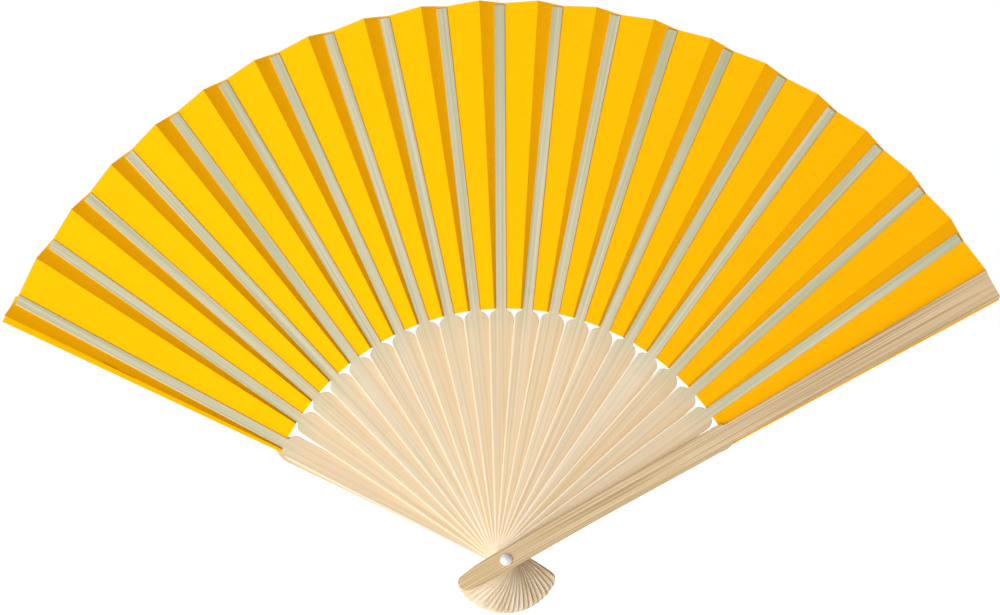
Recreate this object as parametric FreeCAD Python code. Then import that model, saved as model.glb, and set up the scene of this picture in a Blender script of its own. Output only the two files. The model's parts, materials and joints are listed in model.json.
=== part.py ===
import FreeCAD, Part
import math
import os

# Folding hand fan: bamboo ribs and two guard sticks turn on one rivet, and a pleated
# paper leaf is glued behind the ribs.
# Units are millimetres and degrees. The origin is on the rivet's axis, half way through
# the stack of ribs. The open fan stands in the XZ plane, +Z up. The rib side faces -Y.
# Angles are measured from +Z towards +X, which is a positive turn about +Y.

# ---- driving dimensions: the fan ----
RIB_COUNT = 20
FOLD_PITCH = 6.13
MIDDLE_RIB = 11
MIDDLE_ANGLE = -0.15
OPENING_WAVE = 0.42
OPENING_WAVE_RIB = 4.4
OPENING_WAVE_RIBS = 10.6
FIRST_FOLD_EXTRA = 0.54

# ---- driving dimensions: the stack along Y ----
RIB_PITCH = 1.0
RIB_GAP = 0.12
GUARD_GAP = 0.3
GUARD_THICKNESS = 2.2
GUARD_BLADE_STEP = 0.4
BLADE_FRONT = 0.30
BLADE_BACK = 0.15
PAPER = 0.12

# ---- driving dimensions: the rib ----
RIB_HEAD_END = -20.8
RIB_HEAD_TIP_RADIUS = 2.6
RIB_HEAD_TOP = -5.0
RIB_PIVOT_HALF = 3.9
RIB_AXIS_OFFSET = -1.33
RIB_SHOULDER_HALF = 4.7
RIB_SHOULDER_Z = 89.6
RIB_CHEEK_BULGE = 0.7
RIB_NECK_WIDTH = 0.5
RIB_NECK_HEIGHT = 0.8
RIB_NECK_BULGE = 0.14
RIB_BLADE_WIDTH = 3.9
RIB_BLADE_Z = 94.1
RIB_RAMP_LOW = 84.0
RIB_RAMP_HIGH = 92.0
RIB_TIP = 208.4
RIB_EDGE_BREAK = 0.14

# ---- driving dimensions: the guards ----
GUARD_HEAD_END = -20.4
GUARD_HEAD_TIP_RADIUS = 2.9
GUARD_HEAD_TOP = -5.0
GUARD_WAIST_HALF = 4.0
GUARD_WAIST_Z = 38.0
GUARD_SHOULDER_HALF = 4.75
GUARD_SHOULDER_Z = 90.0
GUARD_CHEEK_BULGE = 0.45
GUARD_NECK_WIDTH = 0.5
GUARD_NECK_HEIGHT = 0.6
GUARD_NECK_BULGE = 0.12
GUARD_BLADE_Z = 96.0
FRONT_BLADE_LOW_HALF = 3.6
FRONT_BLADE_TIP_HALF = 5.8
BACK_BLADE_LOW_HALF = 2.4
BACK_BLADE_TIP_HALF = 5.2
GUARD_RAMP_HIGH = 97.0
GUARD_TIP = 209.6
GUARD_EDGE_BREAK = 0.3
FRONT_GUARD_ANGLE = 60.45
BACK_GUARD_ANGLE = -63.35

# ---- driving dimensions: the rivet ----
SHANK_RADIUS = 1.5
HOLE_CLEARANCE = 0.05
RIVET_END_PLAY = 0.05
RIVET_HEAD_RADIUS = 2.3
RIVET_RIM = 0.3
RIVET_DOME = 1.1
CAP_BORE_DEPTH = 0.8

# ---- driving dimensions: the paper leaf ----
LEAF_INNER = 94.0
LEAF_RIDGE_OUTER = 210.0
LEAF_VALLEY_OUTER = 208.9
RIDGE_LEAD = 2.45
RIDGE_RISE = 3.0
RIDGE_GAP = 0.08
END_PANEL_START = 58.85
END_PANEL_PROUD = 0.7
BACK_PANEL_VALLEY = -61.8
BACK_PANEL_EDGE = -64.9
PAPER_CLEARANCE = 0.12

# ---- worked out from the driving dimensions ----
RIB_THICKNESS = RIB_PITCH - RIB_GAP
STACK_HALF = RIB_PITCH * (RIB_COUNT - 1) / 2 + RIB_THICKNESS / 2
GUARD_INNER_Y = STACK_HALF + GUARD_GAP
GUARD_OUTER_Y = GUARD_INNER_Y + GUARD_THICKNESS
HOLE_RADIUS = SHANK_RADIUS + HOLE_CLEARANCE
BLADE_LEFT = RIB_AXIS_OFFSET - RIB_BLADE_WIDTH / 2
BLADE_RIGHT = RIB_AXIS_OFFSET + RIB_BLADE_WIDTH / 2

# Room for a cutting tool to pass right through or past a piece.
OVERCUT = 1.0

ORIGIN = FreeCAD.Vector(0, 0, 0)
ALONG_Y = FreeCAD.Vector(0, 1, 0)


def rib_layer(number):
    """Y of a rib's middle plane: rib 1 is furthest back, rib 20 nearest the front."""
    return RIB_PITCH * ((RIB_COUNT + 1) / 2 - number)


def rib_angle(number):
    """Angle of a rib about the rivet. The folds are opened a little unevenly, the first most."""
    wave = math.cos(math.pi * (number - OPENING_WAVE_RIB) / OPENING_WAVE_RIBS)
    first = FIRST_FOLD_EXTRA if number == 1 else 0
    return MIDDLE_ANGLE + FOLD_PITCH * (number - MIDDLE_RIB) + OPENING_WAVE * wave - first


def paper_layer(number):
    """Y of the middle of the paper where it is glued to the back of a rib's blade."""
    return rib_layer(number) + BLADE_BACK + PAPER / 2


def ridge_rise(number):
    """How far a ridge stands towards the front, less near the front guard so it closes."""
    room = paper_layer(number) + GUARD_INNER_Y - PAPER - PAPER_CLEARANCE
    return min(RIDGE_RISE, room)


def point(x, z):
    """A point of an outline, in the XZ plane."""
    return FreeCAD.Vector(x, 0, z)


def line(start, end):
    return Part.LineSegment(start, end).toShape()


def arc(start, middle, end):
    return Part.Arc(start, middle, end).toShape()


def bulged_arc(start, end, bulge):
    """An arc in the XZ plane that stands out from its chord, to the left of its direction."""
    chord = end - start
    outward = FreeCAD.Vector(-chord.z, 0, chord.x).normalize()
    return arc(start, (start + end) / 2 + outward * bulge, end)


def head_edges(half_width, top_z, end_z, tip_radius):
    """A stick's head, from right to left: two long curves tangent to a small round end."""
    height = top_z - end_z - tip_radius
    long_radius = (half_width ** 2 + height ** 2 - tip_radius ** 2) / (2 * (half_width - tip_radius))
    tip_z = end_z + tip_radius
    lean = math.asin(height / (long_radius - tip_radius))
    half_lean = lean / 2
    meet_x = tip_radius * math.cos(lean)
    meet_z = tip_z - tip_radius * math.sin(lean)
    side_x = half_width - long_radius * (1 - math.cos(half_lean))
    side_z = top_z - long_radius * math.sin(half_lean)
    return [
        arc(point(half_width, top_z), point(side_x, side_z), point(meet_x, meet_z)),
        arc(point(meet_x, meet_z), point(0, end_z), point(-meet_x, meet_z)),
        arc(point(-meet_x, meet_z), point(-side_x, side_z), point(-half_width, top_z)),
    ]


def plate(edges, y_low, y_high):
    """A closed outline in the XZ plane, made into a plate between two Y values."""
    face = Part.Face(Part.Wire(edges))
    face.translate(FreeCAD.Vector(0, y_low, 0))
    return face.extrude(FreeCAD.Vector(0, y_high - y_low, 0))


def side_profile(corners, half_width):
    """A (y, z) outline swept across X, to cut a plate's thickness along its length."""
    ring = [FreeCAD.Vector(-half_width, y, z) for y, z in corners]
    face = Part.Face(Part.makePolygon(ring + ring[:1]))
    return face.extrude(FreeCAD.Vector(2 * half_width, 0, 0))


def turned(shape, angle):
    """A stick drawn upright along +Z, turned about the rivet to its place."""
    copy = shape.copy()
    copy.rotate(ORIGIN, ALONG_Y, angle)
    return copy


def with_rivet_hole(shape, y_low, y_high):
    base = FreeCAD.Vector(0, y_low - OVERCUT, 0)
    return shape.cut(Part.makeCylinder(HOLE_RADIUS, y_high - y_low + 2 * OVERCUT, base, ALONG_Y))


def with_broken_front_edges(shape, size, top=RIB_TIP + OVERCUT):
    """Chamfers the outline's edges on the stick's front, which faces -Y, up to a height."""
    edges = []
    for edge in shape.Edges:
        faces = shape.ancestorsOfType(edge, Part.Face)
        if len(faces) != 2 or edge.CenterOfMass.z > top:
            continue
        normals = [face.normalAt(*face.Surface.parameter(edge.CenterOfMass)) for face in faces]
        front, side = sorted(normals, key=lambda normal: normal.y)
        on_hole = edge.BoundBox.DiagonalLength < 4 * HOLE_RADIUS and abs(edge.CenterOfMass.z) < HOLE_RADIUS / 2
        if front.y < -0.9 and abs(side.y) < 0.1 and not on_hole:
            edges.append(edge)
    return shape.makeChamfer(size, edges)


def with_bevel(shape, start, end, size):
    """Cuts a 45 degree bevel along a straight front edge, on the side away from x 0."""
    along = (end - start).normalize()
    inward = along.cross(ALONG_Y)
    if inward.x * start.x > 0:
        inward = -inward
    ring = []
    for across, depth in ((size + OVERCUT, -OVERCUT), (-OVERCUT, size + OVERCUT), (-OVERCUT, -OVERCUT)):
        ring.append(start + inward * across + ALONG_Y * depth)
    wedge = Part.Face(Part.makePolygon(ring + ring[:1])).extrude(end - start)
    return shape.cut(wedge)


def stick_outline(corners, head, neck_bulge, cheek_bulge, axis_x=0.0):
    """
    A stick's outline: blade, hollow neck, round shoulder and tapering body down to its head.
    The corners are (half width, z) at the tip, blade, neck, shoulder and head.
    The four above the head stand either side of axis_x, and the head either side of x 0.
    """
    tip_r, blade_r, neck_r, shoulder_r = [point(axis_x + half, z) for half, z in corners[:4]]
    tip_l, blade_l, neck_l, shoulder_l = [point(axis_x - half, z) for half, z in corners[:4]]
    body_r = [line(shoulder_r, point(*corners[4]))]
    body_l = [line(point(-corners[4][0], corners[4][1]), shoulder_l)]
    if len(corners) > 5:
        waist, foot = corners[4:]
        body_r.append(line(point(*waist), point(*foot)))
        body_l.insert(0, line(point(-foot[0], foot[1]), point(-waist[0], waist[1])))
    return (
        [
            line(tip_l, tip_r),
            line(tip_r, blade_r),
            bulged_arc(blade_r, neck_r, -neck_bulge),
            bulged_arc(neck_r, shoulder_r, cheek_bulge),
        ]
        + body_r
        + head
        + body_l
        + [
            bulged_arc(shoulder_l, neck_l, cheek_bulge),
            bulged_arc(neck_l, blade_l, -neck_bulge),
            line(blade_l, tip_l),
        ]
    )


def rib():
    """One rib upright at y 0: full thickness at the rivet, a thin blade behind the leaf."""
    half = RIB_THICKNESS / 2
    blade_half = RIB_BLADE_WIDTH / 2
    corners = [
        (blade_half, RIB_TIP),
        (blade_half, RIB_BLADE_Z),
        (blade_half + RIB_NECK_WIDTH, RIB_BLADE_Z - RIB_NECK_HEIGHT),
        (RIB_SHOULDER_HALF, RIB_SHOULDER_Z),
        (RIB_PIVOT_HALF, RIB_HEAD_TOP),
    ]
    head = head_edges(RIB_PIVOT_HALF, RIB_HEAD_TOP, RIB_HEAD_END, RIB_HEAD_TIP_RADIUS)
    outline = stick_outline(corners, head, RIB_NECK_BULGE, RIB_CHEEK_BULGE, RIB_AXIS_OFFSET)
    profile = [
        (-half, RIB_HEAD_END - OVERCUT),
        (-half, RIB_RAMP_LOW),
        (-BLADE_FRONT, RIB_RAMP_HIGH),
        (-BLADE_FRONT, RIB_TIP + OVERCUT),
        (BLADE_BACK, RIB_TIP + OVERCUT),
        (BLADE_BACK, RIB_RAMP_HIGH),
        (half, RIB_RAMP_LOW),
        (half, RIB_HEAD_END - OVERCUT),
    ]
    body = plate(outline, -half, half).common(side_profile(profile, 2 * RIB_SHOULDER_HALF))
    body = with_rivet_hole(body, -half, half)
    return with_broken_front_edges(body, RIB_EDGE_BREAK)


def guard_plate(blade_low_half, blade_tip_half):
    """The guard's outline, in front of the ribs at its full thickness."""
    corners = [
        (blade_tip_half, GUARD_TIP),
        (blade_low_half, GUARD_BLADE_Z),
        (blade_low_half + GUARD_NECK_WIDTH, GUARD_BLADE_Z - GUARD_NECK_HEIGHT),
        (GUARD_SHOULDER_HALF, GUARD_SHOULDER_Z),
        (GUARD_WAIST_HALF, GUARD_WAIST_Z),
        (GUARD_WAIST_HALF, GUARD_HEAD_TOP),
    ]
    head = head_edges(GUARD_WAIST_HALF, GUARD_HEAD_TOP, GUARD_HEAD_END, GUARD_HEAD_TIP_RADIUS)
    outline = stick_outline(corners, head, GUARD_NECK_BULGE, GUARD_CHEEK_BULGE)
    return plate(outline, -GUARD_OUTER_Y, -GUARD_INNER_Y)


def guard_blank():
    """The blank that both guards are cut from, with its hole and the edges of its grip broken."""
    blank = guard_plate(FRONT_BLADE_LOW_HALF, FRONT_BLADE_TIP_HALF)
    blank = with_rivet_hole(blank, -GUARD_OUTER_Y, -GUARD_INNER_Y)
    return with_broken_front_edges(blank, GUARD_EDGE_BREAK, GUARD_WAIST_Z)


def with_thinner_blade(body, blade_low_half, blade_tip_half):
    """Lets the outer face fall by a small step above the waist, and breaks the edges there."""
    blade_y = -GUARD_OUTER_Y + GUARD_BLADE_STEP
    profile = [
        (-GUARD_OUTER_Y, GUARD_HEAD_END - OVERCUT),
        (-GUARD_OUTER_Y, GUARD_WAIST_Z),
        (blade_y, GUARD_RAMP_HIGH),
        (blade_y, GUARD_TIP + OVERCUT),
        (-GUARD_INNER_Y, GUARD_TIP + OVERCUT),
        (-GUARD_INNER_Y, GUARD_HEAD_END - OVERCUT),
    ]
    body = body.common(side_profile(profile, 2 * blade_tip_half))
    fall = GUARD_BLADE_STEP / (GUARD_RAMP_HIGH - GUARD_WAIST_Z)
    shoulder_y = -GUARD_OUTER_Y + fall * (GUARD_SHOULDER_Z - GUARD_WAIST_Z)
    taper = (blade_tip_half - blade_low_half) / (GUARD_TIP - GUARD_BLADE_Z)
    low_half = blade_low_half + taper * (GUARD_RAMP_HIGH - GUARD_BLADE_Z)
    for sign in (-1, 1):
        waist = FreeCAD.Vector(sign * GUARD_WAIST_HALF, -GUARD_OUTER_Y, GUARD_WAIST_Z)
        shoulder = FreeCAD.Vector(sign * GUARD_SHOULDER_HALF, shoulder_y, GUARD_SHOULDER_Z)
        blade = FreeCAD.Vector(sign * low_half, blade_y, GUARD_RAMP_HIGH)
        tip = FreeCAD.Vector(sign * blade_tip_half, blade_y, GUARD_TIP)
        body = with_bevel(body, waist, shoulder, GUARD_EDGE_BREAK)
        body = with_bevel(body, blade, tip, GUARD_EDGE_BREAK)
    return body


def front_guard():
    """The guard in front of the ribs, upright."""
    return with_thinner_blade(guard_blank(), FRONT_BLADE_LOW_HALF, FRONT_BLADE_TIP_HALF)


def back_guard():
    """The guard behind the ribs is turned over, and its blade is cut a little narrower."""
    body = guard_blank().common(guard_plate(BACK_BLADE_LOW_HALF, BACK_BLADE_TIP_HALF))
    body = with_thinner_blade(body, BACK_BLADE_LOW_HALF, BACK_BLADE_TIP_HALF)
    return body.mirror(ORIGIN, ALONG_Y)


def dome(base_y, sign):
    """A shallow domed head on the rivet's axis, rising from base_y along sign times Y."""
    rim = FreeCAD.Vector(RIVET_HEAD_RADIUS, base_y, 0)
    rim_top = FreeCAD.Vector(RIVET_HEAD_RADIUS, base_y + sign * RIVET_RIM, 0)
    crown = FreeCAD.Vector(0, base_y + sign * (RIVET_RIM + RIVET_DOME), 0)
    ball = (RIVET_HEAD_RADIUS ** 2 + RIVET_DOME ** 2) / (2 * RIVET_DOME)
    centre_y = crown.y - sign * ball
    slope = math.asin(RIVET_HEAD_RADIUS / ball) / 2
    middle = FreeCAD.Vector(ball * math.sin(slope), centre_y + sign * ball * math.cos(slope), 0)
    base = FreeCAD.Vector(0, base_y, 0)
    wire = Part.Wire([line(base, rim), line(rim, rim_top), arc(rim_top, middle, crown), line(crown, base)])
    return Part.Face(wire).revolve(ORIGIN, ALONG_Y, 360)


def rivet_pin():
    """Front head and shank in one piece."""
    head_y = -(GUARD_OUTER_Y + RIVET_END_PLAY)
    shank_end = GUARD_OUTER_Y + RIVET_END_PLAY + CAP_BORE_DEPTH
    shank = Part.makeCylinder(SHANK_RADIUS, shank_end - head_y, FreeCAD.Vector(0, head_y, 0), ALONG_Y)
    return dome(head_y, -1).fuse(shank).removeSplitter()


def rivet_cap():
    """Rear cap, pressed onto the end of the shank."""
    cap_y = GUARD_OUTER_Y + RIVET_END_PLAY
    bore = Part.makeCylinder(SHANK_RADIUS, CAP_BORE_DEPTH, FreeCAD.Vector(0, cap_y, 0), ALONG_Y)
    return dome(cap_y, 1).cut(bore)


def leaf_point(angle, radius, y, offset=0.0):
    """A point of the leaf at a radius, a little to the right of the radial line at an angle."""
    turn = math.radians(angle) + math.asin(offset / radius)
    return FreeCAD.Vector(radius * math.sin(turn), y, radius * math.cos(turn))


def leaf_line(angle, outer_radius, y, offset=0.0, y_outer=None):
    """A line of the leaf from its inner to its outer edge, as a pair of points."""
    if y_outer is None:
        y_outer = y
    return [leaf_point(angle, LEAF_INNER, y, offset), leaf_point(angle, outer_radius, y_outer, offset)]


def ridge_line(number, shift, back=0.0):
    """
    The ridge fold at the left of a rib, whose height grows with the radius. It is moved aside by
    a small angle to part the pleats, and may be moved towards the back.
    """
    layer = paper_layer(number) + back
    rise = ridge_rise(number)
    inner_y = layer - rise * LEAF_INNER / LEAF_RIDGE_OUTER
    return leaf_line(ridge_angle(number) + shift, LEAF_RIDGE_OUTER, inner_y, 0, layer - rise)


def ridge_angle(number):
    return rib_angle(number) - RIDGE_LEAD


def blade_left_line(number, back=0.0):
    """The leaf's line along the left edge of a rib's blade."""
    lead = math.radians(RIDGE_LEAD) * LEAF_RIDGE_OUTER
    share = RIB_BLADE_WIDTH / (lead + BLADE_RIGHT)
    outer = LEAF_VALLEY_OUTER + (LEAF_RIDGE_OUTER - LEAF_VALLEY_OUTER) * share
    return leaf_line(rib_angle(number), outer, paper_layer(number) + back, BLADE_LEFT)


def valley_line(number):
    """The valley fold along the right edge of a rib's blade."""
    return leaf_line(rib_angle(number), LEAF_VALLEY_OUTER, paper_layer(number), BLADE_RIGHT)


def paper_sheet(spokes):
    """A closed thin solid of paper through a row of leaf lines, faceted between them."""
    lift = FreeCAD.Vector(0, PAPER / 2, 0)
    corners = []
    for inner, outer in spokes:
        corners.append((inner - lift, outer - lift, inner + lift, outer + lift))
    faces = []

    def panel(a, b, c, d):
        for ring in ((a, b, c), (a, c, d)):
            faces.append(Part.Face(Part.makePolygon(list(ring) + [ring[0]])))

    for left, right in zip(corners, corners[1:]):
        panel(left[0], left[1], right[1], right[0])
        panel(left[2], left[3], right[3], right[2])
        panel(left[0], left[2], right[2], right[0])
        panel(left[1], left[3], right[3], right[1])
    for end in (corners[0], corners[-1]):
        panel(end[0], end[1], end[3], end[2])
    solid = Part.Solid(Part.Shell(faces))
    if solid.Volume < 0:
        solid.reverse()
    return solid


def leaf_pleat(number):
    """The panel glued behind a rib, and the panel that climbs from it to the next ridge."""
    lines = [ridge_line(number, RIDGE_GAP / 2), blade_left_line(number), valley_line(number)]
    if number < RIB_COUNT:
        lines.append(ridge_line(number + 1, -RIDGE_GAP / 2))
    else:
        layer = -(GUARD_INNER_Y - PAPER / 2)
        lines.append(leaf_line(END_PANEL_START - RIDGE_GAP, LEAF_RIDGE_OUTER, layer))
    return paper_sheet(lines)


def first_pleat():
    """The panel glued on the back guard, and the panel folded back over it to ridge 1."""
    layer = GUARD_INNER_Y - PAPER / 2
    back = 2 * PAPER
    free_edge = leaf_line(BACK_PANEL_EDGE, LEAF_RIDGE_OUTER, layer)
    fold = leaf_line(BACK_PANEL_VALLEY, LEAF_VALLEY_OUTER, layer)
    glued = paper_sheet([free_edge, fold])
    folded_back = paper_sheet([ridge_line(1, 0, back), blade_left_line(1, back), fold])
    return glued.fuse(folded_back).removeSplitter()


def end_panel():
    """The leaf's last panel, glued behind the front guard and a little proud of its edge."""
    layer = -(GUARD_INNER_Y - PAPER / 2)
    start = leaf_line(END_PANEL_START, LEAF_RIDGE_OUTER, layer)
    inner = leaf_point(FRONT_GUARD_ANGLE, LEAF_INNER, layer, FRONT_BLADE_LOW_HALF + END_PANEL_PROUD)
    outer = leaf_point(FRONT_GUARD_ANGLE, LEAF_VALLEY_OUTER, layer, FRONT_BLADE_TIP_HALF + END_PANEL_PROUD)
    return paper_sheet([start, [inner, outer]])


def main():
    os.makedirs("parts", exist_ok=True)
    nodes = {
        "front_guard": turned(front_guard(), FRONT_GUARD_ANGLE),
        "back_guard": turned(back_guard(), BACK_GUARD_ANGLE),
        "rivet_pin": rivet_pin(),
        "rivet_cap": rivet_cap(),
        "leaf_pleat_00": first_pleat(),
        "leaf_end_panel": end_panel(),
    }
    upright_rib = rib()
    for number in range(1, RIB_COUNT + 1):
        blank = turned(upright_rib, rib_angle(number))
        blank.translate(FreeCAD.Vector(0, rib_layer(number), 0))
        nodes["rib_%02d" % number] = blank
        nodes["leaf_pleat_%02d" % number] = leaf_pleat(number)
    for name, shape in sorted(nodes.items()):
        shape.exportStep("parts/%s.step" % name)
        sound = shape.isValid() and len(shape.Solids) == 1 and shape.Volume > 0
        print(name, "valid" if sound else "FAULTY", round(shape.Volume, 2), "mm3")


main()
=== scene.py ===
import json
import math

import bpy
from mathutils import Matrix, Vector, noise


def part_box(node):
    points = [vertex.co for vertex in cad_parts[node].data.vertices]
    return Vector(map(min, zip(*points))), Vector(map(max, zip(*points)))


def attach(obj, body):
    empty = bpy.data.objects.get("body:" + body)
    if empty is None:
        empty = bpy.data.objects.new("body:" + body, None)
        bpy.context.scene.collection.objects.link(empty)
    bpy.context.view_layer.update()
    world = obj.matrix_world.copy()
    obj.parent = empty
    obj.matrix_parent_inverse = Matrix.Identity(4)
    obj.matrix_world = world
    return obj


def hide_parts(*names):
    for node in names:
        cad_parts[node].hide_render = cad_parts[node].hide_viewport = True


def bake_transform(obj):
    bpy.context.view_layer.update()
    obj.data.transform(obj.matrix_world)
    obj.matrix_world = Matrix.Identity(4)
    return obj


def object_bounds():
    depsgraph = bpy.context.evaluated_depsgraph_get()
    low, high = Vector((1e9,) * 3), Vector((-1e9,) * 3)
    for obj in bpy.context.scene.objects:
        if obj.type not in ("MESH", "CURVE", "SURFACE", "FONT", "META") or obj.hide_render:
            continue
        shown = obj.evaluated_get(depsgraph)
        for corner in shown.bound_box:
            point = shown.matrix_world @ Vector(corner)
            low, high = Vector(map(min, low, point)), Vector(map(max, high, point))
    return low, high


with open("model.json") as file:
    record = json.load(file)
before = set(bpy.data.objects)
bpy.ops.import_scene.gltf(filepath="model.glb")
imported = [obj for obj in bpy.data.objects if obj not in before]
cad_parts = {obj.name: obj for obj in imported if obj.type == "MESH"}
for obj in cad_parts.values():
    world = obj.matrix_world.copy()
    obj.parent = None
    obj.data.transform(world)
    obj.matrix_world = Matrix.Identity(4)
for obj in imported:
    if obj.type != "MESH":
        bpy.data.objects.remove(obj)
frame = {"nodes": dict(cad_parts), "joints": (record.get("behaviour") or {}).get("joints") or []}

cad_low, cad_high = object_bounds()

# Everything is in metres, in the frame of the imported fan: the rivet's axis is Y, the open fan
# stands in the XZ plane and its rib side faces -Y. Angles are from +Z towards +X, in degrees.
MM = 0.001

# ---- the fan, as the CAD has it ----
RIB_COUNT = 20
MIDDLE_RIB = 11
MIDDLE_RIB_ANGLE = -0.308
FRONT_GUARD_ANGLE = 60.45
BACK_GUARD_ANGLE = -63.35
RIB_AXIS_OFFSET = -1.33 * MM
BLADE_WIDTH = 3.9 * MM
BLADE_BACK = 0.15 * MM
PAPER = 0.12 * MM
LEAF_INNER = 94.0 * MM
LEAF_RIDGE_OUTER = 210.0 * MM
LEAF_VALLEY_OUTER = 208.9 * MM
RIDGE_LEAD = 2.45
RIDGE_RISE = 3.0 * MM
PAPER_CLEARANCE = 0.12 * MM
NEST_STEP = 0.16 * MM
END_PANEL_START = 58.85
BACK_PANEL_VALLEY = -61.8
BACK_PANEL_EDGE = -64.9
FRONT_BLADE_LOW_HALF = 3.6 * MM
FRONT_BLADE_TIP_HALF = 5.8 * MM
END_PANEL_PROUD = 0.7 * MM
BLADE_LEFT = RIB_AXIS_OFFSET - BLADE_WIDTH / 2
BLADE_RIGHT = RIB_AXIS_OFFSET + BLADE_WIDTH / 2

# ---- a rib's left edge, in its own upright frame ----
RIB_STEP = 6.13
RIB_EDGE_X = -4.01 * MM
RIB_EDGE_SLOPE = -0.0225

# ---- the leaf's own detail; painted shade darkens its glued panels more and more towards the front guard, where their ridges rise less ----
STEPS_OUTWARD = 28
STEPS_ACROSS = 12
STEPS_UNDER_RIB = 3
GLUED_SAG = 0.12
FIRST_SHADED_RIB = 15
MOST_PAINTED_SHADE = 0.30

# ---- noise: where most of its values lie, and how far a seed moves it along each axis ----
NOISE_SPREAD = (0.3, 0.7)
SEED_SHIFT = (0.137, 0.071, 0.291)

# ---- bamboo: heights along a stick where its colour turns, and the sizes of its grain; on the ribs the darker blade and tip are painted shade and the paler head is painted light ----
BLADE_TONE_AND_SHADE = (84 * MM, 101 * MM)
TIP_TONE_AND_SHADE = (110 * MM, 200 * MM)
HEAD_TONE_AND_LIGHT = (2 * MM, -9 * MM)
FIBRE_LENGTH = 110 * MM
STREAK_SIZE = (1.5 * MM, 1.5 * MM, 150 * MM)
BAND_SIZE = (3.6 * MM, 3.6 * MM, 120 * MM)
PORE_SIZE = (0.14 * MM, 0.14 * MM, 3.2 * MM)
BAMBOO_ROUGHNESS = (0.45, 0.62)
BAMBOO_SPECULAR = 0.3

# ---- bamboo: noise values at which a mark is missing and at its full strength ----
BAND_VALUES = (0.40, 0.66)
STREAK_VALUES = (0.44, 0.66)
PALE_FIBRE_VALUES = (0.48, 0.34)
DARK_FIBRE_VALUES = (0.52, 0.66)
PORE_VALUES = (0.6, 0.8)
PORE_STRENGTH = 0.3

# ---- a rib's painted highlight along its left edge by distance inward, and the part of its bared width with a peach tone, partly painted shade of the next rib ----
EDGE_HIGHLIGHT = (0.30 * MM, 0.70 * MM)
EDGE_HIGHLIGHT_STRENGTH = 0.65
EDGE_HIGHLIGHT_COLOUR = (0.88, 0.79, 0.62)
PEACH_SHADE_SHARE = (0.45, 0.95)
PEACH_SHADE_STRENGTH = 0.6
PEACH_SHADE_COLOUR = (0.66, 0.455, 0.265)

# ---- how much one stick differs from another ----
RIB_LIGHTNESS_SPREAD = 0.10
FRONT_GUARD_SEED = 31
BACK_GUARD_SEED = 47

# ---- paper and plastic ----
PULP_SIZE = 0.7 * MM
DYE_SIZE = 14 * MM
PAPER_FIBRE_SIZE = 0.16 * MM
PAPER_DARK = (0.82, 0.360, 0.0004)
PAPER_MIDDLE = (0.87, 0.405, 0.0006)
PAPER_LIGHT = (0.90, 0.445, 0.0010)
DYE_COLOUR = (0.84, 0.365, 0.0004)
DYE_STRENGTH = 0.22
# painted shade for the glued panels near the front guard
PAINTED_SHADE_COLOUR = (0.40, 0.13, 0.0002)
PAPER_ROUGHNESS = (0.82, 0.95)
PAPER_SPECULAR = 0.04
PEARL_SWIRL_SIZE = 1.6 * MM
PEARL_SHADE = (0.58, 0.58, 0.62)
PEARL_LIGHT = (0.68, 0.68, 0.71)
PEARL_ROUGHNESS = (0.22, 0.36)
PEARL_COAT = 0.4
PEARL_COAT_ROUGHNESS = 0.12

# ---- floor and light ----
WHITE = (1.0, 1.0, 1.0, 1.0)
FLOOR_HALF_WIDTH = 30.0
FLOOR_DROP = 0.5 * MM
FLOOR_COLOUR = (0.86, 0.86, 0.86, 1.0)
FLOOR_ROUGHNESS = 0.9
FLOOR_GLOW = 0.7
SURROUND_SEEN = 1.0
SURROUND_LIGHT = 0.13
KEY_AZIMUTH = -105.0
KEY_HEIGHT = 47.0
KEY_DISTANCE = 3.0
KEY_WIDTH = 3.4
KEY_IRRADIANCE = 3.75
REAR_DIRECTION = (-0.45, 0.75, 0.5)
REAR_IRRADIANCE = 2.2
REAR_SOFTNESS = 30.0

# ---- the picture ----
CAMERA_DISTANCE = 3.0
VIEW_WIDTH = 0.376
VIEW_CENTRE = Vector((-0.0023, 0.0, 0.0944))
SENSOR_WIDTH = 36.0
NEAREST_SEEN = 0.05
FARTHEST_SEEN = 100.0


# ---------------------------------------------------------------- leaf geometry

def rib_name(number):
    """A rib's node and body; the ribs are numbered from the left, seen from the rib side."""
    return "rib_%02d" % number


def fold_opening(number):
    """How far a rib stands open from its neighbour nearer the middle: its joint's range."""
    joint = next(j for j in frame["joints"] if j["name"] == "fold_" + rib_name(number))
    return max(abs(limit) for limit in joint["range_deg"])


def rib_angle(number):
    """Where a rib stands at rest, added up from the middle rib outwards."""
    step = 1 if number > MIDDLE_RIB else -1
    between = range(MIDDLE_RIB + step, number + step, step)
    return MIDDLE_RIB_ANGLE + step * sum(fold_opening(other) for other in between)


def rib_layer(number):
    """Y of the middle of a rib's thickness."""
    low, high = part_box(rib_name(number))
    return (low.y + high.y) / 2


def paper_layer(number):
    """Y of the middle of the paper glued to the back of a rib's blade."""
    return rib_layer(number) + BLADE_BACK + PAPER / 2


FRONT_PAPER_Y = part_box("front_guard")[1].y + PAPER / 2
BACK_PAPER_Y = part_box("back_guard")[0].y - PAPER / 2


def ridge_rise(number):
    """How far a ridge stands towards the front, less near the front guard so the ridges nest."""
    room = paper_layer(number) - FRONT_PAPER_Y - PAPER / 2 - PAPER_CLEARANCE
    return min(RIDGE_RISE, room - NEST_STEP * (RIB_COUNT - number))


def leaf_point(angle, radius, y, offset=0.0):
    """A point of the leaf at a radius, a little to the right of the radial line at an angle."""
    turn = math.radians(angle) + math.asin(offset / radius)
    return Vector((radius * math.sin(turn), y, radius * math.cos(turn)))


def leaf_line(angle, outer_radius, y, offset=0.0, y_outer=None):
    """A line of the leaf from its inner to its outer edge, as a pair of points."""
    if y_outer is None:
        y_outer = y
    return [leaf_point(angle, LEAF_INNER, y, offset), leaf_point(angle, outer_radius, y_outer, offset)]


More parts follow.
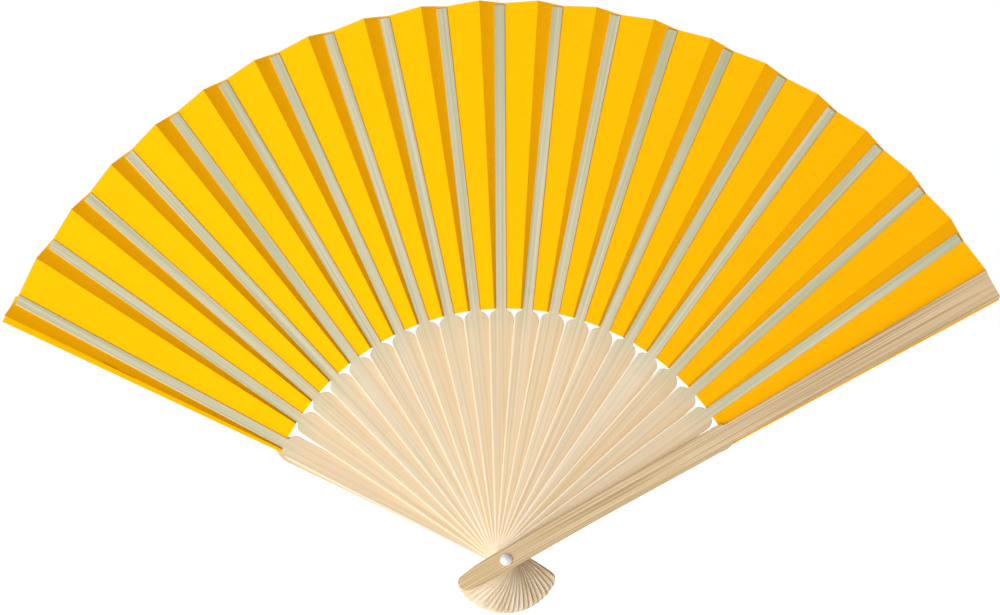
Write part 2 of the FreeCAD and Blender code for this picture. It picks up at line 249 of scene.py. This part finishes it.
def ridge_line(number):
    """The ridge fold at the left of a rib, whose height grows with the radius."""
    layer = paper_layer(number)
    rise = ridge_rise(number)
    inner_y = layer - rise * LEAF_INNER / LEAF_RIDGE_OUTER
    return leaf_line(rib_angle(number) - RIDGE_LEAD, LEAF_RIDGE_OUTER, inner_y, 0, layer - rise)


def blade_left_line(number, back=0.0):
    """The leaf's line along the left edge of a rib's blade."""
    lead = math.radians(RIDGE_LEAD) * LEAF_RIDGE_OUTER
    share = BLADE_WIDTH / (lead + BLADE_RIGHT)
    outer = LEAF_VALLEY_OUTER + (LEAF_RIDGE_OUTER - LEAF_VALLEY_OUTER) * share
    return leaf_line(rib_angle(number), outer, paper_layer(number) + back, BLADE_LEFT)


def valley_line(number):
    """The valley fold along the right edge of a rib's blade."""
    return leaf_line(rib_angle(number), LEAF_VALLEY_OUTER, paper_layer(number), BLADE_RIGHT)


def panel_columns(lines, steps, sag=0.0):
    """
    Columns of points across a panel, through its lines. Where the lines differ in height, the paper
    hangs back from the straight by a share of the difference.
    """
    columns = []
    spans = list(zip(lines, lines[1:], steps))
    for index, (left, right, count) in enumerate(spans):
        last = index == len(spans) - 1
        for step in range(count + (1 if last else 0)):
            share = step / count
            column = []
            for row in range(STEPS_OUTWARD + 1):
                out = row / STEPS_OUTWARD
                start = left[0].lerp(left[1], out)
                end = right[0].lerp(right[1], out)
                place = start.lerp(end, share)
                place.y += sag * abs(end.y - start.y) * share * (1 - share)
                column.append(place)
            columns.append(column)
    return columns


def paper_panel(name, columns):
    """
    A sheet of paper with its middle surface through columns of points. The thickness is a modifier,
    so both sides of the sheet move alike where it bends.
    """
    wide = len(columns)
    tall = len(columns[0])
    points = [tuple(place) for column in columns for place in column]
    faces = []
    for i in range(wide - 1):
        for j in range(tall - 1):
            corner = i * tall + j
            faces.append((corner, corner + tall, corner + tall + 1, corner + 1))
    mesh = bpy.data.meshes.new(name)
    mesh.from_pydata(points, [], faces)
    mesh.polygons.foreach_set("use_smooth", [True] * len(mesh.polygons))
    for edge in mesh.edges:
        rows = [vertex % tall for vertex in edge.vertices]
        ranks = [vertex // tall for vertex in edge.vertices]
        at_end = rows[0] == rows[1] and rows[0] in (0, tall - 1)
        at_side = ranks[0] == ranks[1] and ranks[0] in (0, wide - 1)
        edge.use_edge_sharp = at_end or at_side
    piece = bpy.data.objects.new(name, mesh)
    bpy.context.scene.collection.objects.link(piece)
    thick = piece.modifiers.new("paper", "SOLIDIFY")
    thick.thickness = PAPER
    thick.offset = 0.0
    return piece


def glued_panel(number):
    """The panel glued behind a rib: it comes down from the ridge and lies flat under the rib."""
    lines = [ridge_line(number), blade_left_line(number), valley_line(number)]
    columns = panel_columns(lines, [STEPS_ACROSS // 2, STEPS_UNDER_RIB], GLUED_SAG)
    return paper_panel("leaf_glued_%02d" % number, columns)


def end_panel_start():
    """Where the last panel's glued part begins, on the front guard's inner edge."""
    return leaf_line(END_PANEL_START, LEAF_RIDGE_OUTER, FRONT_PAPER_Y)


def free_panel(number):
    """
    The panel that climbs from a rib's valley fold to the next ridge. It has no sag, because the
    shares of its bend depend strongly on Y.
    """
    valley = valley_line(number)
    ridge = ridge_line(number + 1) if number < RIB_COUNT else end_panel_start()
    columns = panel_columns([valley, ridge], [STEPS_ACROSS])
    piece = paper_panel("leaf_free_%02d" % number, columns)
    return piece, valley, ridge


def end_panel():
    """The last panel, glued behind the front guard and a little proud of its outer edge."""
    inner_offset = FRONT_BLADE_LOW_HALF + END_PANEL_PROUD
    outer_offset = FRONT_BLADE_TIP_HALF + END_PANEL_PROUD
    edge = [
        leaf_point(FRONT_GUARD_ANGLE, LEAF_INNER, FRONT_PAPER_Y, inner_offset),
        leaf_point(FRONT_GUARD_ANGLE, LEAF_VALLEY_OUTER, FRONT_PAPER_Y, outer_offset),
    ]
    columns = panel_columns([end_panel_start(), edge], [STEPS_ACROSS])
    return paper_panel("leaf_glued_front_guard", columns)


def first_panels():
    """The panel glued on the back guard, and the one folded back over it to the first ridge."""
    free_edge = leaf_line(BACK_PANEL_EDGE, LEAF_RIDGE_OUTER, BACK_PAPER_Y)
    fold = leaf_line(BACK_PANEL_VALLEY, LEAF_VALLEY_OUTER, BACK_PAPER_Y)
    glued = paper_panel("leaf_glued_back_guard", panel_columns([free_edge, fold], [STEPS_ACROSS]))
    ridge = ridge_line(1)
    lines = [ridge, blade_left_line(1, 2 * PAPER), fold]
    columns = panel_columns(lines, [STEPS_ACROSS // 2, STEPS_ACROSS // 2])
    folded = paper_panel("leaf_free_00", columns)
    return glued, folded, fold, ridge


# ---------------------------------------------------------------- materials

def new_material(name):
    """A material with its nodes, its links and its main shader."""
    material = bpy.data.materials.new(name)
    material.use_nodes = True
    nodes = material.node_tree.nodes
    shader = nodes["Principled BSDF"]
    return material, nodes, material.node_tree.links, shader


def stretched_noise(nodes, links, coordinates, size, detail, roughness=0.55):
    """Noise whose blots are size metres long on each axis of the given coordinates."""
    mapping = nodes.new("ShaderNodeMapping")
    mapping.inputs["Scale"].default_value = [1.0 / s for s in size]
    links.new(coordinates, mapping.inputs["Vector"])
    texture = nodes.new("ShaderNodeTexNoise")
    texture.inputs["Scale"].default_value = 1.0
    texture.inputs["Detail"].default_value = detail
    texture.inputs["Roughness"].default_value = roughness
    links.new(mapping.outputs["Vector"], texture.inputs["Vector"])
    return texture.outputs["Fac"]


def colour_ramp(nodes, links, value, stops):
    """Colours by value, from stops of (value, colour)."""
    ramp = nodes.new("ShaderNodeValToRGB")
    elements = ramp.color_ramp.elements
    while len(elements) < len(stops):
        elements.new(0.5)
    for element, (position, colour) in zip(elements, stops):
        element.position = position
        element.color = (*colour, 1.0)
    links.new(value, ramp.inputs["Fac"])
    return ramp.outputs["Color"]


def mix_colour(nodes, links, factor, first, second):
    """The first colour at factor 0 and the second at 1; each is a socket or a plain colour."""
    mix = nodes.new("ShaderNodeMix")
    mix.data_type = "RGBA"
    sockets = [s for s in mix.inputs if s.type == "RGBA"]
    if isinstance(factor, float):
        mix.inputs["Factor"].default_value = factor
    else:
        links.new(factor, mix.inputs["Factor"])
    for socket, source in zip(sockets, (first, second)):
        if isinstance(source, tuple):
            socket.default_value = (*source, 1.0)
        else:
            links.new(source, socket)
    return next(s for s in mix.outputs if s.type == "RGBA")


def map_range(nodes, links, value, low, high, to_low=0.0, to_high=1.0):
    """Maps low to to_low and high to to_high, and holds the ends beyond."""
    ranged = nodes.new("ShaderNodeMapRange")
    ranged.inputs["From Min"].default_value = low
    ranged.inputs["From Max"].default_value = high
    ranged.inputs["To Min"].default_value = to_low
    ranged.inputs["To Max"].default_value = to_high
    links.new(value, ranged.inputs["Value"])
    return ranged.outputs["Result"]


def arithmetic(nodes, links, operation, *values):
    """One sum on sockets and plain numbers."""
    node = nodes.new("ShaderNodeMath")
    node.operation = operation
    for socket, value in zip(node.inputs, values):
        if isinstance(value, float):
            socket.default_value = value
        else:
            links.new(value, socket)
    return node.outputs[0]


def add_bump(nodes, links, shader, height, strength, distance):
    """Raises a shader's surface by a noise, up to a distance."""
    bump = nodes.new("ShaderNodeBump")
    bump.inputs["Strength"].default_value = strength
    bump.inputs["Distance"].default_value = distance
    links.new(height, bump.inputs["Height"])
    links.new(bump.outputs["Normal"], shader.inputs["Normal"])


def paint_rib_edge_light(nodes, links, ground, x, z):
    """
    A painted highlight along a rib's left edge, and a peach tone towards the next rib, partly painted
    shade of that rib and partly the rib's own colour. The bared width is what the next rib leaves in
    sight, and grows with the height.
    """
    edge = arithmetic(nodes, links, "MULTIPLY_ADD", z, RIB_EDGE_SLOPE, RIB_EDGE_X)
    inward = arithmetic(nodes, links, "SUBTRACT", x, edge)
    bared = arithmetic(nodes, links, "MULTIPLY", z, math.radians(RIB_STEP))
    share = arithmetic(nodes, links, "DIVIDE", inward, bared)
    # peach tone towards the next rib: partly painted shade of that rib's edge, partly the rib's own
    # colour
    peach_shade = map_range(nodes, links, share, *PEACH_SHADE_SHARE, 0.0, PEACH_SHADE_STRENGTH)
    ground = mix_colour(nodes, links, peach_shade, ground, PEACH_SHADE_COLOUR)
    # painted highlight along the left edge, where a rounded edge would catch the light
    edge_highlight = map_range(nodes, links, inward, *EDGE_HIGHLIGHT, EDGE_HIGHLIGHT_STRENGTH, 0.0)
    return mix_colour(nodes, links, edge_highlight, ground, EDGE_HIGHLIGHT_COLOUR)


def bamboo_material(name, angle, seed, look):
    """Split bamboo with its grain along a stick that stands at an angle from +Z."""
    material, nodes, links, shader = new_material(name)
    place = nodes.new("ShaderNodeTexCoord")
    turn = nodes.new("ShaderNodeMapping")
    turn.vector_type = "POINT"
    turn.inputs["Rotation"].default_value = (0.0, -math.radians(angle), 0.0)
    links.new(place.outputs["Object"], turn.inputs["Vector"])
    shift = nodes.new("ShaderNodeVectorMath")
    shift.operation = "ADD"
    shift.inputs[1].default_value = [seed * part for part in SEED_SHIFT]
    links.new(turn.outputs["Vector"], shift.inputs[0])
    along = shift.outputs["Vector"]

    grain_size = look["grain_size"]
    fibres = stretched_noise(nodes, links, along, (grain_size, grain_size, FIBRE_LENGTH), 1.0)
    streaks = stretched_noise(nodes, links, along, STREAK_SIZE, 1.0)
    bands = stretched_noise(nodes, links, along, BAND_SIZE, 0.0)
    pores = stretched_noise(nodes, links, along, PORE_SIZE, 2.0)

    split = nodes.new("ShaderNodeSeparateXYZ")
    links.new(turn.outputs["Vector"], split.inputs["Vector"])
    # on the ribs the darker blade and tip are painted shade, and the paler head is painted light
    upward = map_range(nodes, links, split.outputs["Z"], *BLADE_TONE_AND_SHADE)
    ground = mix_colour(nodes, links, upward, look["body"], look["blade"])
    outward = map_range(nodes, links, split.outputs["Z"], *TIP_TONE_AND_SHADE)
    ground = mix_colour(nodes, links, outward, ground, look["tip"])
    downward = map_range(nodes, links, split.outputs["Z"], *HEAD_TONE_AND_LIGHT)
    ground = mix_colour(nodes, links, downward, ground, look["head"])
    streak_tone = mix_colour(nodes, links, upward, look["body_streak"], look["blade_streak"])
    dark_tone = mix_colour(nodes, links, upward, look["body_dark"], look["blade_dark"])
    band = map_range(nodes, links, bands, *BAND_VALUES, 0.0, look["banding"])
    ground = mix_colour(nodes, links, band, ground, streak_tone)
    streak = map_range(nodes, links, streaks, *STREAK_VALUES, 0.0, look["streaking"])
    ground = mix_colour(nodes, links, streak, ground, streak_tone)
    pale_fibre = map_range(nodes, links, fibres, *PALE_FIBRE_VALUES, 0.0, look["grain"])
    ground = mix_colour(nodes, links, pale_fibre, ground, look["light"])
    dark_fibre = map_range(nodes, links, fibres, *DARK_FIBRE_VALUES, 0.0, look["grain"])
    ground = mix_colour(nodes, links, dark_fibre, ground, dark_tone)
    pore = map_range(nodes, links, pores, *PORE_VALUES, 0.0, PORE_STRENGTH)
    ground = mix_colour(nodes, links, pore, ground, dark_tone)
    # the ribs get a painted highlight and painted shade along their edges
    if look["painted_edge_light"]:
        ground = paint_rib_edge_light(nodes, links, ground, split.outputs["X"], split.outputs["Z"])
    links.new(ground, shader.inputs["Base Color"])

    rough = map_range(nodes, links, fibres, *NOISE_SPREAD, *BAMBOO_ROUGHNESS)
    links.new(rough, shader.inputs["Roughness"])
    shader.inputs["Specular IOR Level"].default_value = BAMBOO_SPECULAR
    add_bump(nodes, links, shader, fibres, strength=0.4, distance=0.06 * MM)
    return material


def paper_material(name, painted_shade=0.0):
    """Matte dyed paper with a faint pulp mottle, darker by a share of painted shade."""
    material, nodes, links, shader = new_material(name)
    place = nodes.new("ShaderNodeTexCoord").outputs["Object"]
    pulp = stretched_noise(nodes, links, place, [PULP_SIZE] * 3, 5.0, 0.7)
    dye = stretched_noise(nodes, links, place, [DYE_SIZE] * 3, 3.0)
    fibre = stretched_noise(nodes, links, place, [PAPER_FIBRE_SIZE] * 3, 2.0)
    stops = [(0.25, PAPER_DARK), (0.5, PAPER_MIDDLE), (0.75, PAPER_LIGHT)]
    colour = colour_ramp(nodes, links, pulp, stops)
    tone = map_range(nodes, links, dye, *NOISE_SPREAD, 0.0, DYE_STRENGTH)
    colour = mix_colour(nodes, links, tone, colour, DYE_COLOUR)
    # painted shade: darkens the paper by a share towards a deep orange brown
    colour = mix_colour(nodes, links, painted_shade, colour, PAINTED_SHADE_COLOUR)
    links.new(colour, shader.inputs["Base Color"])
    rough = map_range(nodes, links, pulp, *NOISE_SPREAD, *PAPER_ROUGHNESS)
    links.new(rough, shader.inputs["Roughness"])
    shader.inputs["Specular IOR Level"].default_value = PAPER_SPECULAR
    add_bump(nodes, links, shader, fibre, strength=0.25, distance=0.04 * MM)
    return material


def rivet_material():
    """Pearly white moulded plastic with faint swirls in its colour and its gloss."""
    material, nodes, links, shader = new_material("rivet_pearl")
    place = nodes.new("ShaderNodeTexCoord").outputs["Object"]
    swirl = stretched_noise(nodes, links, place, [PEARL_SWIRL_SIZE] * 3, 3.0)
    stops = list(zip(NOISE_SPREAD, (PEARL_SHADE, PEARL_LIGHT)))
    colour = colour_ramp(nodes, links, swirl, stops)
    links.new(colour, shader.inputs["Base Color"])
    rough = map_range(nodes, links, swirl, *NOISE_SPREAD, *PEARL_ROUGHNESS)
    links.new(rough, shader.inputs["Roughness"])
    shader.inputs["Coat Weight"].default_value = PEARL_COAT
    shader.inputs["Coat Roughness"].default_value = PEARL_COAT_ROUGHNESS
    add_bump(nodes, links, shader, swirl, strength=0.1, distance=0.03 * MM)
    return material


def finish_node(name, material):
    """Gives a CAD node its material."""
    node = frame["nodes"][name]
    if not node.material_slots:
        node.data.materials.append(material)
    for slot in node.material_slots:
        slot.material = material


# ---------------------------------------------------------------- the sticks and the rivet

def rib_look(number):
    """A rib's colours, cream on the body and greenish grey on the blade, and its grain's strength. The
    greenish grey blade, its grain tones and the darker tip are painted shade, and the paler head is
    painted light against the shade of the stacked heads.
    """
    tint = noise.noise(Vector((number * 1.7, 3.3, 0.2)))
    warm = noise.noise(Vector((number * 2.9, 8.1, 0.7)))
    light = 1.0 + RIB_LIGHTNESS_SPREAD * tint
    return {
        "painted_edge_light": True,
        "light": (0.69 * light, 0.59 * light, 0.43 * light),
        "body": (0.63 * light, (0.520 - 0.05 * warm) * light, (0.360 - 0.10 * warm) * light),
        "body_streak": (0.62, 0.45, 0.255),
        "body_dark": (0.50, 0.35, 0.185),
        # blade, tip and the blade's grain tones: painted shade; head: painted light
        "blade": (0.44 * light, (0.435 - 0.02 * warm) * light, (0.280 - 0.03 * warm) * light),
        "tip": (0.365 * light, 0.37 * light, 0.23 * light),
        "head": (0.80 * light, 0.71 * light, 0.55 * light),
        "blade_streak": (0.50, 0.49, 0.35),
        "blade_dark": (0.34, 0.335, 0.20),
        "banding": 0.4,
        "streaking": 0.5,
        "grain": 0.40,
        "grain_size": 0.75 * MM,
    }


FRONT_GUARD_LOOK = {
    "painted_edge_light": False,
    "light": (0.69, 0.54, 0.36),
    "body": (0.57, 0.43, 0.245),
    "body_streak": (0.44, 0.305, 0.155),
    "body_dark": (0.30, 0.185, 0.08),
    "blade": (0.59, 0.44, 0.26),
    "tip": (0.58, 0.43, 0.255),
    "head": (0.54, 0.395, 0.205),
    "blade_streak": (0.42, 0.295, 0.15),
    "blade_dark": (0.28, 0.18, 0.08),
    "banding": 0.4,
    "streaking": 0.45,
    "grain": 0.65,
    "grain_size": 0.5 * MM,
}

BACK_GUARD_LOOK = {
    "painted_edge_light": False,
    "light": (0.74, 0.62, 0.44),
    "body": (0.67, 0.545, 0.37),
    "body_streak": (0.62, 0.45, 0.26),
    "body_dark": (0.48, 0.33, 0.17),
    "blade": (0.60, 0.48, 0.31),
    "tip": (0.58, 0.46, 0.29),
    # paler head: painted light against the shade of the sticks in front
    "head": (0.75, 0.66, 0.50),
    "blade_streak": (0.50, 0.37, 0.21),
    "blade_dark": (0.38, 0.26, 0.13),
    "banding": 0.4,
    "streaking": 0.5,
    "grain": 0.45,
    "grain_size": 0.6 * MM,
}


def make_sticks():
    """Dresses the ribs, the guards and the rivet, which keep their CAD shapes."""
    for number in range(1, RIB_COUNT + 1):
        name = rib_name(number)
        bamboo = bamboo_material("bamboo_" + name, rib_angle(number), number, rib_look(number))
        finish_node(name, bamboo)
    front = bamboo_material("bamboo_front_guard", FRONT_GUARD_ANGLE, FRONT_GUARD_SEED, FRONT_GUARD_LOOK)
    finish_node("front_guard", front)
    back = bamboo_material("bamboo_back_guard", BACK_GUARD_ANGLE, BACK_GUARD_SEED, BACK_GUARD_LOOK)
    finish_node("back_guard", back)
    pearl = rivet_material()
    finish_node("rivet_pin", pearl)
    finish_node("rivet_cap", pearl)


# ---------------------------------------------------------------- the leaf

def make_leaf():
    """
    Builds the paper, panel by panel. A glued panel rides on its stick, and a free one spans the gap
    between the two sticks on either side of it.
    """
    plain = paper_material("leaf_paper")

    def dress(piece, node, paper=plain):
        piece.data.materials.append(paper)
        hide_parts(node)

    for number in range(1, RIB_COUNT + 1):
        node = "leaf_pleat_%02d" % number
        glued = glued_panel(number)
        # glued panels from this rib on get painted shade, deeper towards the front guard
        if number < FIRST_SHADED_RIB:
            dress(glued, node)
        else:
            painted_shade = MOST_PAINTED_SHADE * (number - FIRST_SHADED_RIB + 1) / (RIB_COUNT - FIRST_SHADED_RIB + 1)
            dress(glued, node, paper_material("leaf_paper_painted_shade_%02d" % number, painted_shade))
        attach(glued, rib_name(number))
        free, valley, ridge = free_panel(number)
        dress(free, node)
        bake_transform(free)
    glued, folded, fold, ridge = first_panels()
    dress(glued, "leaf_pleat_00")
    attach(glued, "back_guard")
    dress(folded, "leaf_pleat_00")
    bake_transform(folded)
    last = end_panel()
    dress(last, "leaf_end_panel")
    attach(last, "front_guard")


# ---------------------------------------------------------------- floor, light and camera

def make_floor():
    """A pale floor just under the fan, which casts no shadow, so the low key light passes it."""
    floor_z = cad_low.z - FLOOR_DROP
    half = FLOOR_HALF_WIDTH
    mesh = bpy.data.meshes.new("floor")
    square = [(-half, -half), (half, -half), (half, half), (-half, half)]
    mesh.from_pydata([(x, y, floor_z) for x, y in square], [], [(0, 1, 2, 3)])
    floor = bpy.data.objects.new("floor", mesh)
    bpy.context.scene.collection.objects.link(floor)
    material, _, _, shader = new_material("pale_floor")
    shader.inputs["Base Color"].default_value = FLOOR_COLOUR
    shader.inputs["Roughness"].default_value = FLOOR_ROUGHNESS
    shader.inputs["Emission Color"].default_value = WHITE
    shader.inputs["Emission Strength"].default_value = FLOOR_GLOW
    mesh.materials.append(material)
    floor.visible_shadow = False


def make_world():
    """A white surround that lights the fan less brightly than it looks."""
    world = bpy.data.worlds.new("studio")
    bpy.context.scene.world = world
    world.use_nodes = True
    nodes = world.node_tree.nodes
    links = world.node_tree.links
    seen = nodes["Background"]
    seen.inputs["Color"].default_value = WHITE
    seen.inputs["Strength"].default_value = SURROUND_SEEN
    lighting = nodes.new("ShaderNodeBackground")
    lighting.inputs["Color"].default_value = WHITE
    lighting.inputs["Strength"].default_value = SURROUND_LIGHT
    path = nodes.new("ShaderNodeLightPath")
    mix = nodes.new("ShaderNodeMixShader")
    links.new(path.outputs["Is Camera Ray"], mix.inputs["Fac"])
    links.new(lighting.outputs["Background"], mix.inputs[1])
    links.new(seen.outputs["Background"], mix.inputs[2])
    links.new(mix.outputs["Shader"], nodes["World Output"].inputs["Surface"])


def light_direction(azimuth, height):
    """Towards a light at an angle from +Z in the fan's plane, raised off it towards -Y."""
    turn = math.radians(azimuth)
    lift = math.radians(height)
    return Vector((math.sin(turn) * math.cos(lift), -math.sin(lift), math.cos(turn) * math.cos(lift)))


def make_lamp(name, kind, towards_light):
    """A lamp of a kind, turned so that its light comes from a direction."""
    lamp = bpy.data.objects.new(name, bpy.data.lights.new(name, kind))
    bpy.context.scene.collection.objects.link(lamp)
    lamp.rotation_mode = "QUATERNION"
    lamp.rotation_quaternion = towards_light.to_track_quat("Z", "Y")
    return lamp


def make_lights():
    """A wide round lamp in front, low on the left, and a soft sun behind for the fan's back."""
    towards = light_direction(KEY_AZIMUTH, KEY_HEIGHT)
    key = make_lamp("key", "AREA", towards)
    key.location = VIEW_CENTRE + towards * KEY_DISTANCE
    key.visible_camera = False
    key.data.shape = "DISK"
    key.data.size = KEY_WIDTH
    key.data.energy = KEY_IRRADIANCE * math.pi * KEY_DISTANCE * KEY_DISTANCE
    key.data.cycles.use_multiple_importance_sampling = False

    rear = make_lamp("rear", "SUN", Vector(REAR_DIRECTION))
    rear.data.energy = REAR_IRRADIANCE
    rear.data.angle = math.radians(REAR_SOFTNESS)


def make_camera():
    """Square on to the rib side, far enough off to show it almost without perspective."""
    data = bpy.data.cameras.new("camera")
    data.sensor_width = SENSOR_WIDTH
    data.lens = SENSOR_WIDTH * CAMERA_DISTANCE / VIEW_WIDTH
    data.clip_start = NEAREST_SEEN
    data.clip_end = FARTHEST_SEEN
    camera = bpy.data.objects.new("camera", data)
    camera.location = VIEW_CENTRE - Vector((0, CAMERA_DISTANCE, 0))
    camera.rotation_euler = (math.radians(90), 0, 0)
    bpy.context.scene.collection.objects.link(camera)
    bpy.context.scene.camera = camera


make_camera()
make_world()
make_lights()
make_floor()
make_sticks()
make_leaf()
bpy.context.scene.view_settings.view_transform = "Standard"
